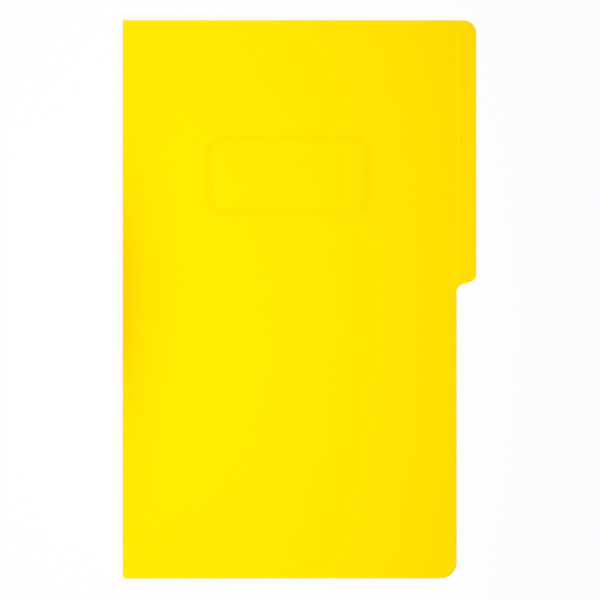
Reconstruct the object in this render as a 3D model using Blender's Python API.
"""Pressboard fastener folder, legal size, closed and lying on its rear cover.

One sheet of pressboard, scored twice, makes the rear cover with its half-cut tab, a narrow spine
and the front cover with a pressed label frame. A two-prong steel fastener is bonded inside the
rear cover beside the spine: a base strip under a board patch, two prongs folded over a compressor
bar, and two slides on the bar that lock the prongs down.

Metres, +Z up. X runs from the spine to the tab and Y runs up along the spine. The origin is the
middle of the closed folder's outline, on the surface that it lies on.
"""

import math

import bmesh
import bpy
from mathutils import Vector

# Folder sheet
BOARD = 0.00064
FOLDER_HEIGHT = 0.37465
COVER_WIDTH = 0.2240
COVER_CORNER = 0.0109
FOLD_RADIUS = 0.0009
FOLD_RELIEF = 0.00021
SPINE_SCORE_WIDTH = 0.0009
SPINE_SCORE_DEPTH = 0.00022
REST_GAP = 0.0003

# Half-cut tab on the rear cover
TAB_LENGTH = 0.1743
TAB_DEPTH = 0.0132
TAB_SLANT = 0.0042
TAB_CORNER = 0.0086
TAB_NOSE = 0.0050
TAB_FILLET = 0.0055

# Swept upper corner of the front cover
SWEEP_LENGTH = 0.0220
SWEEP_RADIUS = 0.0500
SWEEP_CORNER = 0.0020

# Label frame pressed into the front cover
FRAME_WIDTH = 0.1065
FRAME_HEIGHT = 0.0493
FRAME_CORNER = 0.0088
FRAME_FROM_SPINE = 0.1113
FRAME_FROM_TOP = 0.1038
FRAME_LINE = 0.0070
FRAME_FLOOR = 0.0022
FRAME_DEPTH = 0.00025

# Fastener strip and prongs
GAUGE = 0.0003
PRONG_SPACING = 0.0800
PRONG_WIDTH = 0.0060
PRONG_LENGTH = 0.0300
PRONG_TAPER = 0.0050
PRONG_TIP = 0.0026
TIP_CORNER = 0.0010
BASE_WIDTH = 0.0090
BASE_SHOULDER = 0.0040
BEND_RADIUS = 0.0008
FASTENER_RISE = 0.0128

# Board patch that bonds the base to the rear cover
PATCH = 0.0004
PATCH_FLANGE = 0.0080
PATCH_END = 0.0095
PATCH_CORNER = 0.0060
PATCH_FROM_SPINE = 0.0045
POCKET_PLAY = 0.0014
POCKET_CORNER = 0.0020
POCKET_SLOPE = 0.0010
SLOT_PLAY = 0.0004

# Compressor bar and its lock slides
BAR_ROLL = 0.0013
BAR_ROLL_TURN = 250.0
BAR_CHANNEL_PLAY = 0.0009
BAR_OVERHANG = 0.0090
BAR_CORNER = 0.0035
BAR_SLOT = 0.0032
SLIDE_LENGTH = 0.0090
SLIDE_LIP = 0.0022
SLIDE_CORNER = 0.0008
SLIDE_RIB = 0.0004
SLIDE_RIB_WIDTH = 0.0022
SLIDE_RIB_SPAN = 0.0060
SLIDE_PARK_GAP = 0.0010
COVER_HEADROOM = 0.0015

# Facets of the round forms
ARC_STEP = 9.0
ROLL_STEP = 25.0
SWEEP_STEP = 3.0

# Places in the stack of the fastener, from the rear cover upwards
BASE_LEVEL = BOARD + REST_GAP
PATCH_RISE = GAUGE + REST_GAP
PATCH_TOP = BASE_LEVEL + PATCH_RISE + PATCH
SLIDE_LEVEL = PATCH_TOP + REST_GAP
BAR_LEVEL = SLIDE_LEVEL + GAUGE + REST_GAP
PRONG_LEVEL = BAR_LEVEL + GAUGE + REST_GAP
CREASE_LEVEL = PRONG_LEVEL + GAUGE
ROOF_LEVEL = BAR_LEVEL + BAR_ROLL + REST_GAP
FASTENER_TOP = ROOF_LEVEL + GAUGE + SLIDE_RIB

# Widths that follow from what fits inside
BAR_WIDTH = PRONG_WIDTH + 2 * (BAR_CHANNEL_PLAY + BAR_ROLL)
BAR_LENGTH = PRONG_SPACING + 2 * BAR_OVERHANG
SLIDE_INNER = BAR_WIDTH + 2 * REST_GAP
SLIDE_WIDTH = SLIDE_INNER + 2 * GAUGE
POCKET_WIDTH = BASE_WIDTH + 2 * POCKET_PLAY
POCKET_LENGTH = PRONG_SPACING + GAUGE + 2 * POCKET_PLAY
PATCH_WIDTH = POCKET_WIDTH + 2 * (POCKET_SLOPE + PATCH_FLANGE)
PATCH_LENGTH = POCKET_LENGTH + 2 * (POCKET_SLOPE + PATCH_END)

# The spine clears the closed fastener, and the front cover slopes down to lie on the rear cover
SPINE_X = -(COVER_WIDTH + TAB_DEPTH) / 2
TOP_Y = FOLDER_HEIGHT / 2
FASTENER_INSET = BOARD + PATCH_FROM_SPINE + PATCH_WIDTH / 2
SLOPE_REACH = (FASTENER_INSET + SLIDE_WIDTH / 2) / COVER_WIDTH
EDGE_LEVEL = 2 * BOARD + REST_GAP
SPINE_WIDTH = (FASTENER_TOP + COVER_HEADROOM + BOARD - SLOPE_REACH * EDGE_LEVEL) / (1 - SLOPE_REACH)
COVER_SLOPE = math.asin((SPINE_WIDTH - EDGE_LEVEL) / COVER_WIDTH)
FOLD_STRIP = 2 * (FOLD_RADIUS + BOARD)
FASTENER_X = SPINE_X + FASTENER_INSET
SLIDE_PARK = (SLIDE_LENGTH + SLIDE_PARK_GAP) / 2

BOARD_YELLOW = (1.0, 0.76, 0.0)
TINPLATE = (0.72, 0.73, 0.74)


def clear_scene():
    """Remove every object of the file that the script runs in."""
    for obj in list(bpy.data.objects):
        bpy.data.objects.remove(obj, do_unlink=True)


def material(name, colour, roughness, metallic):
    """A Principled material for one piece."""
    made = bpy.data.materials.new(name)
    made.use_nodes = True
    shader = made.node_tree.nodes["Principled BSDF"]
    shader.inputs["Base Color"].default_value = (*colour, 1.0)
    shader.inputs["Roughness"].default_value = roughness
    shader.inputs["Metallic"].default_value = metallic
    made.diffuse_color = (*colour, 1.0)
    return made


def board_material(name):
    """Dyed pressboard."""
    return material(name, BOARD_YELLOW, 0.62, 0.0)


def steel_material(name):
    """Tin-plated steel strip."""
    return material(name, TINPLATE, 0.32, 1.0)


def arc(centre, radius, start, end, step):
    """Points on an arc from one angle to another, in degrees."""
    count = max(2, math.ceil(abs(end - start) / step))
    angles = [math.radians(start + (end - start) * i / count) for i in range(count + 1)]
    return [Vector((centre[0] + radius * math.cos(a), centre[1] + radius * math.sin(a))) for a in angles]


def fillet(before, corner, after, radius):
    """The points that round one corner of an outline, convex or concave."""
    if radius <= 0:
        return [corner.copy()]
    back = (before - corner).normalized()
    ahead = (after - corner).normalized()
    half = back.angle(ahead) / 2
    limit = 0.49 * min((before - corner).length, (after - corner).length)
    reach = min(radius / math.tan(half), limit)
    radius = reach * math.tan(half)
    centre = corner + (back + ahead).normalized() * radius / math.sin(half)
    first = corner + back * reach - centre
    last = corner + ahead * reach - centre
    turn = math.degrees(math.pi - 2 * half)
    start = math.degrees(math.atan2(first.y, first.x))
    left = first.x * last.y - first.y * last.x > 0
    return arc(centre, radius, start, start + (turn if left else -turn), ARC_STEP)


def rounded(corners):
    """A closed outline from (x, y, radius) corners."""
    spots = [Vector((x, y)) for x, y, _ in corners]
    outline = []
    for i, (_, _, radius) in enumerate(corners):
        outline += fillet(spots[i - 1], spots[i], spots[(i + 1) % len(spots)], radius)
    return outline


def rounded_path(corners):
    """An open path from (x, y, radius) corners, whose two ends stay sharp."""
    spots = [Vector((x, y)) for x, y, _ in corners]
    path = [spots[0]]
    for i in range(1, len(spots) - 1):
        path += fillet(spots[i - 1], spots[i], spots[i + 1], corners[i][2])
    return path + [spots[-1]]


def rounded_rectangle(width, height, radius, centre=(0.0, 0.0)):
    """A rounded rectangle, counterclockwise."""
    x, y = centre
    w, h = width / 2, height / 2
    corners = [(x + w, y - h), (x + w, y + h), (x - w, y + h), (x - w, y - h)]
    return rounded([(*corner, radius) for corner in corners])


def offset_path(path, distance):
    """The path moved to its left by a distance, with mitred corners."""
    moved = []
    for i, spot in enumerate(path):
        along = [(path[j + 1] - path[j]).normalized() for j in (i - 1, i) if 0 <= j < len(path) - 1]
        side = [Vector((-d.y, d.x)) for d in along]
        normal = (side[0] + side[-1]).normalized()
        moved.append(spot + normal * distance / normal.dot(side[0]))
    return moved


def band(path, gauge):
    """A closed section of bent strip: the path and its offset to the left."""
    return path + offset_path(path, gauge)[::-1]


def finish(bm, name, made, smooth=False):
    """Turn a bmesh into a named object with its material."""
    bmesh.ops.remove_doubles(bm, verts=bm.verts[:], dist=1e-7)
    bmesh.ops.recalc_face_normals(bm, faces=bm.faces[:])
    mesh = bpy.data.meshes.new(name)
    bm.to_mesh(mesh)
    bm.free()
    mesh.materials.append(made)
    if smooth:
        mesh.shade_smooth()
        mesh.set_sharp_from_angle(angle=math.radians(40))
    obj = bpy.data.objects.new(name, mesh)
    bpy.context.scene.collection.objects.link(obj)
    return obj


def ring(bm, outline, z):
    """A closed loop of edges at one height."""
    verts = [bm.verts.new((p.x, p.y, z)) for p in outline]
    return [bm.edges.new((verts[i - 1], verts[i])) for i in range(len(verts))]


def fill(bm, *rings):
    """Faces between an outer ring and the rings inside it."""
    edges = [edge for loop in rings for edge in loop]
    bmesh.ops.triangle_fill(bm, use_beauty=True, edges=edges, normal=(0.0, 0.0, 1.0))


def bridge(bm, first, second):
    """A wall of faces between two rings of as many points, joined in the order in which both are drawn."""
    for low, high in zip(first, second):
        bm.faces.new((low.verts[0], low.verts[1], high.verts[1], high.verts[0]))


def thicken(bm, thickness):
    """Extrude the whole surface into a sheet, up for a positive thickness. Returns the new points."""
    grown = bmesh.ops.extrude_face_region(bm, geom=bm.faces[:], use_keep_orig=True)
    verts = [item for item in grown["geom"] if isinstance(item, bmesh.types.BMVert)]
    bmesh.ops.translate(bm, verts=verts, vec=(0.0, 0.0, thickness))
    return verts


def fold_strip(bm, edge, left):
    """The strip of a sheet beside its fold, from an edge of the filled outline to the fold's side."""
    grown = bmesh.ops.extrude_edge_only(bm, edges=[edge])
    for vert in grown["geom"]:
        if isinstance(vert, bmesh.types.BMVert):
            vert.co.x = left


def mitre(verts, edge_x, run):
    """Slant the sheet's fold edge: points on it move along X by a run."""
    for vert in verts:
        if abs(vert.co.x - edge_x) < 1e-6:
            vert.co.x += run


def loft(name, sections, made, smooth=False):
    """A solid through sections of as many points each, closed by flat ends."""
    bm = bmesh.new()
    rows = [[bm.verts.new(p) for p in section] for section in sections]
    for low, high in zip(rows, rows[1:]):
        for i in range(len(low)):
            bm.faces.new((low[i - 1], low[i], high[i], high[i - 1]))
    bm.faces.new(rows[0])
    bm.faces.new(rows[-1])
    return finish(bm, name, made, smooth)


def along_y(section, y):
    """A section drawn in X and Z, placed across Y."""
    return [Vector((p.x, y, p.y)) for p in section]


def cutter(name, outlines, low, high):
    """Upright prisms that cut another piece and aren't part of the object."""
    bm = bmesh.new()
    for outline in outlines:
        fill(bm, ring(bm, outline, low))
    thicken(bm, high - low)
    obj = finish(bm, name, board_material(name))
    obj.hide_render = True
    obj.display_type = "WIRE"
    return obj


def fold_edge(angle):
    """A panel's rounded edge at a fold, as distance from the fold and depth, from outer face to mitre."""
    half = angle / 2
    centre = (FOLD_RELIEF + FOLD_RADIUS / math.tan(half), FOLD_RADIUS)
    return arc(centre, FOLD_RADIUS, -90.0, math.degrees(half) - 180.0, ARC_STEP)


def fold_cutter(name, angle, side):
    """A prism that rounds a panel's outer edge at a fold, from below for a side of 1 and above for -1."""
    edge = fold_edge(angle)
    lead = edge[0] + Vector((0.15, -0.02)) * FOLD_RADIUS
    past = 2 * edge[-1] - edge[-2]
    back = [past, Vector((-BOARD, past.y)), Vector((-BOARD, -BOARD)), Vector((lead.x, -BOARD))]
    section = [Vector((p.x, side * p.y)) for p in [lead] + edge[1:] + back]
    end = TOP_Y + BOARD
    obj = loft(name, [along_y(section, y) for y in (-end, end)], board_material(name))
    obj.hide_render = True
    obj.display_type = "WIRE"
    return obj


def cut(obj, tool, operation):
    """Cut an object with another by an exact Boolean."""
    made = obj.modifiers.new(tool.name, "BOOLEAN")
    made.operation = operation
    made.object = tool
    made.solver = "EXACT"


def place(obj, parent, location, rotation=(0.0, 0.0, 0.0)):
    """Set an object's place under its parent."""
    obj.parent = parent
    obj.location = location
    obj.rotation_euler = rotation


def rear_cover():
    """The flat rear panel with its tab, rounded and cut slanting along the lower fold."""
    left = SPINE_X + FOLD_RELIEF
    right = SPINE_X + COVER_WIDTH
    tab = right + TAB_DEPTH
    nose = TOP_Y - TAB_LENGTH
    outline = rounded([
        (left + FOLD_STRIP, -TOP_Y, 0.0),
        (right, -TOP_Y, COVER_CORNER),
        (right, nose - TAB_SLANT, TAB_FILLET),
        (tab, nose, TAB_NOSE),
        (tab, TOP_Y, TAB_CORNER),
        (left + FOLD_STRIP, TOP_Y, 0.0),
    ])
    bm = bmesh.new()
    edges = ring(bm, outline, 0.0)
    fill(bm, edges)
    fold_strip(bm, edges[0], left)
    mitre(thicken(bm, BOARD), left, BOARD)
    obj = finish(bm, "rear_cover", board_material("rear_board"))
    rounding = fold_cutter("rear_fold_rounding", math.pi / 2, 1)
    place(rounding, obj, (SPINE_X, 0.0, 0.0))
    cut(obj, rounding, "DIFFERENCE")
    return obj


def spine_panel(parent):
    """The narrow upright panel between the folds, with a score along its middle."""
    run = BOARD / math.tan((math.pi / 2 - COVER_SLOPE) / 2)
    middle = SPINE_WIDTH / 2
    section = [Vector((p.y, p.x)) for p in fold_edge(math.pi / 2)]
    section += [
        Vector((BOARD, FOLD_RELIEF + BOARD)),
        Vector((BOARD, SPINE_WIDTH - FOLD_RELIEF - run)),
    ]
    section += [Vector((p.y, SPINE_WIDTH - p.x)) for p in reversed(fold_edge(math.pi / 2 - COVER_SLOPE))]
    section += [
        Vector((0.0, middle + SPINE_SCORE_WIDTH / 2)),
        Vector((SPINE_SCORE_DEPTH, middle)),
        Vector((0.0, middle - SPINE_SCORE_WIDTH / 2)),
    ]
    sections = [along_y(section, y) for y in (-TOP_Y, TOP_Y)]
    obj = loft("spine_panel", sections, board_material("spine_board"))
    place(obj, parent, (SPINE_X, 0.0, 0.0))
    return obj


def front_cover(parent):
    """The front panel, from its fold to the fore edge, with the frame pressed through the board."""
    left = FOLD_RELIEF
    right = COVER_WIDTH
    turn = math.degrees(math.asin(SWEEP_LENGTH / SWEEP_RADIUS))
    sweep = arc((right - SWEEP_RADIUS, TOP_Y - SWEEP_LENGTH), SWEEP_RADIUS, 0.0, turn, SWEEP_STEP)
    outline = rounded([
        (left + FOLD_STRIP, -TOP_Y, 0.0),
        (right, -TOP_Y, COVER_CORNER),
        *[(p.x, p.y, 0.0) for p in sweep[:-1]],
        (sweep[-1].x, sweep[-1].y, SWEEP_CORNER),
        (left + FOLD_STRIP, TOP_Y, 0.0),
    ])
    centre = (FRAME_FROM_SPINE, TOP_Y - FRAME_FROM_TOP)
    bm = bmesh.new()
    loops = []
    groove = ((FRAME_LINE, 0.0), (FRAME_FLOOR, FRAME_DEPTH), (-FRAME_FLOOR, FRAME_DEPTH), (-FRAME_LINE, 0.0))
    for grow, depth in groove:
        shape = rounded_rectangle(FRAME_WIDTH + grow, FRAME_HEIGHT + grow, FRAME_CORNER + grow / 2, centre)
        loops.append(ring(bm, shape, -depth))
    edges = ring(bm, outline, 0.0)
    fill(bm, edges, loops[0])
    fold_strip(bm, edges[0], left)
    for outer, inner in zip(loops, loops[1:]):
        bridge(bm, outer, inner)
    fill(bm, loops[-1])
    run = BOARD / math.tan((math.pi / 2 - COVER_SLOPE) / 2)
    mitre(thicken(bm, -BOARD), left, run)
    obj = finish(bm, "front_cover", board_material("front_board"))
    rounding = fold_cutter("front_fold_rounding", math.pi / 2 - COVER_SLOPE, -1)
    place(rounding, obj, (0.0, 0.0, 0.0))
    cut(obj, rounding, "DIFFERENCE")
    place(obj, parent, (0.0, 0.0, SPINE_WIDTH), (0.0, COVER_SLOPE, 0.0))
    return obj


def fastener_patch(parent):
    """The board patch: a flange on the cover, raised over the base, with a slit for each prong."""
    bm = bmesh.new()
    slope = 2 * POCKET_SLOPE
    edge = ring(bm, rounded_rectangle(PATCH_WIDTH, PATCH_LENGTH, PATCH_CORNER), 0.0)
    foot_corner = POCKET_CORNER + POCKET_SLOPE
    foot = ring(bm, rounded_rectangle(POCKET_WIDTH + slope, POCKET_LENGTH + slope, foot_corner), 0.0)
    top = ring(bm, rounded_rectangle(POCKET_WIDTH, POCKET_LENGTH, POCKET_CORNER), PATCH_RISE)
    fill(bm, edge, foot)
    bridge(bm, foot, top)
    slits = []
    for side in (-1, 1):
        spot = (0.0, side * PRONG_SPACING / 2)
        slit = rounded_rectangle(PRONG_WIDTH + 2 * SLOT_PLAY, GAUGE + 2 * SLOT_PLAY, 0.0, spot)
        slits.append(ring(bm, slit, PATCH_RISE))
    fill(bm, top, *slits)
    thicken(bm, PATCH)
    obj = finish(bm, "fastener_patch", board_material("patch_board"))
    place(obj, parent, (FASTENER_X, FASTENER_RISE, BASE_LEVEL))
    return obj


def fastener_base(parent):
    """The steel strip under the patch, bent up at both ends as the roots of the prongs."""
    end = (PRONG_SPACING + GAUGE) / 2
    crease = CREASE_LEVEL - BASE_LEVEL - FOLD_RELIEF
    path = rounded_path([
        (-end, crease, 0.0),
        (-end, 0.0, BEND_RADIUS),
        (end, 0.0, BEND_RADIUS),
        (end, crease, 0.0),
    ])
    inner = offset_path(path, GAUGE)
    inner[0].y -= GAUGE
    inner[-1].y -= GAUGE
    wide = end - BEND_RADIUS - BASE_SHOULDER
    stations = [(p, q, PRONG_WIDTH) for p, q in zip(path, inner)]
    middle = len(stations) // 2
    neck = wide + BASE_SHOULDER / 2
    plate = []
    for y, width in ((-neck, PRONG_WIDTH), (-wide, BASE_WIDTH), (wide, BASE_WIDTH), (neck, PRONG_WIDTH)):
        plate.append((Vector((y, 0.0)), Vector((y, GAUGE)), width))
    stations[middle:middle] = plate
    sections = []
    for low, high, width in stations:
        half = width / 2
        sections.append([
            Vector((-half, low.x, low.y)),
            Vector((half, low.x, low.y)),
            Vector((half, high.x, high.y)),
            Vector((-half, high.x, high.y)),
        ])
    obj = loft("fastener_base", sections, steel_material("base_steel"))
    place(obj, parent, (FASTENER_X, FASTENER_RISE, BASE_LEVEL))
    return obj


def prong(name, parent, side):
    """One prong, folded inward from its crease, with a tapered tip. Its origin is on the crease."""
    half = PRONG_WIDTH / 2
    root = -FOLD_RELIEF
    tip = -PRONG_LENGTH
    outline = rounded([
        (half, root, 0.0),
        (-half, root, 0.0),
        (-half, tip + PRONG_TAPER, PRONG_TAPER),
        (-PRONG_TIP / 2, tip, TIP_CORNER),
        (PRONG_TIP / 2, tip, TIP_CORNER),
        (half, tip + PRONG_TAPER, PRONG_TAPER),
    ])
    bm = bmesh.new()
    fill(bm, ring(bm, outline, 0.0))
    for vert in thicken(bm, -GAUGE):
        if abs(vert.co.y - root) < 1e-6:
            vert.co.y -= GAUGE
    obj = finish(bm, name, steel_material(name + "_steel"))
    crease = (PRONG_SPACING + GAUGE) / 2
    turn = 0.0 if side > 0 else math.pi
    place(obj, parent, (0.0, side * crease, CREASE_LEVEL - BASE_LEVEL), (0.0, 0.0, turn))
    return obj


def compressor_bar(parent):
    """The bar over the paper: a strip with both long edges rolled over, and a slot for each prong."""
    radius = BAR_ROLL / 2
    reach = BAR_WIDTH / 2 - radius
    left = arc((-reach, radius), radius, 270.0 - BAR_ROLL_TURN, 270.0, ROLL_STEP)
    right = arc((reach, radius), radius, -90.0, BAR_ROLL_TURN - 90.0, ROLL_STEP)
    section = band(left + right, GAUGE)
    sections = [along_y(section, y) for y in (-BAR_LENGTH / 2, BAR_LENGTH / 2)]
    obj = loft("compressor_bar", sections, steel_material("bar_steel"), smooth=True)
    place(obj, parent, (FASTENER_X, FASTENER_RISE, BAR_LEVEL))
    slots = []
    for side in (-1, 1):
        spot = (0.0, side * PRONG_SPACING / 2)
        slots.append(rounded_rectangle(PRONG_WIDTH + 2 * SLOT_PLAY, BAR_SLOT, SLOT_PLAY, spot))
    punch = cutter("bar_slot_punch", slots, -GAUGE, 2 * GAUGE)
    place(punch, obj, (0.0, 0.0, 0.0))
    cut(obj, punch, "DIFFERENCE")
    blank = rounded_rectangle(BAR_WIDTH + 2 * GAUGE, BAR_LENGTH - 2 * GAUGE, BAR_CORNER)
    trim = cutter("bar_end_trim", [blank], -GAUGE, BAR_ROLL + GAUGE)
    place(trim, obj, (0.0, 0.0, 0.0))
    cut(obj, trim, "INTERSECT")
    return obj


def slide_section(rise):
    """The section of a lock slide, a clip round the bar. The middle of its roof is raised by a rise."""
    half = SLIDE_WIDTH / 2
    roof = ROOF_LEVEL + GAUGE - SLIDE_LEVEL
    lip = half - SLIDE_LIP
    rib = SLIDE_RIB_SPAN / 2
    path = rounded_path([
        (-lip, 0.0, 0.0),
        (-half, 0.0, SLIDE_CORNER),
        (-half, roof, SLIDE_CORNER),
        (-rib - SLIDE_RIB, roof, 0.0),
        (-rib, roof + rise, 0.0),
        (rib, roof + rise, 0.0),
        (rib + SLIDE_RIB, roof, 0.0),
        (half, roof, SLIDE_CORNER),
        (half, 0.0, SLIDE_CORNER),
        (lip, 0.0, 0.0),
    ])
    return band(path, -GAUGE)


def lock_slide(name, parent, side):
    """A lock slide, parked between the prong tips, with a rib across its roof for a fingernail."""
    half = SLIDE_LENGTH / 2
    rib = SLIDE_RIB_WIDTH / 2
    flank = [(half, 0.0), (rib, 0.0), (rib / 2, SLIDE_RIB)]
    stations = [(-y, rise) for y, rise in flank] + flank[::-1]
    sections = [along_y(slide_section(rise), y) for y, rise in stations]
    obj = loft(name, sections, steel_material(name + "_steel"))
    place(obj, parent, (0.0, side * SLIDE_PARK, SLIDE_LEVEL - BAR_LEVEL))
    return obj


def main():
    """Build the folder."""
    clear_scene()
    rear = rear_cover()
    spine = spine_panel(rear)
    front_cover(spine)
    fastener_patch(rear)
    base = fastener_base(rear)
    prong("prong_upper", base, 1)
    prong("prong_lower", base, -1)
    bar = compressor_bar(rear)
    lock_slide("lock_slide_upper", bar, 1)
    lock_slide("lock_slide_lower", bar, -1)


main()
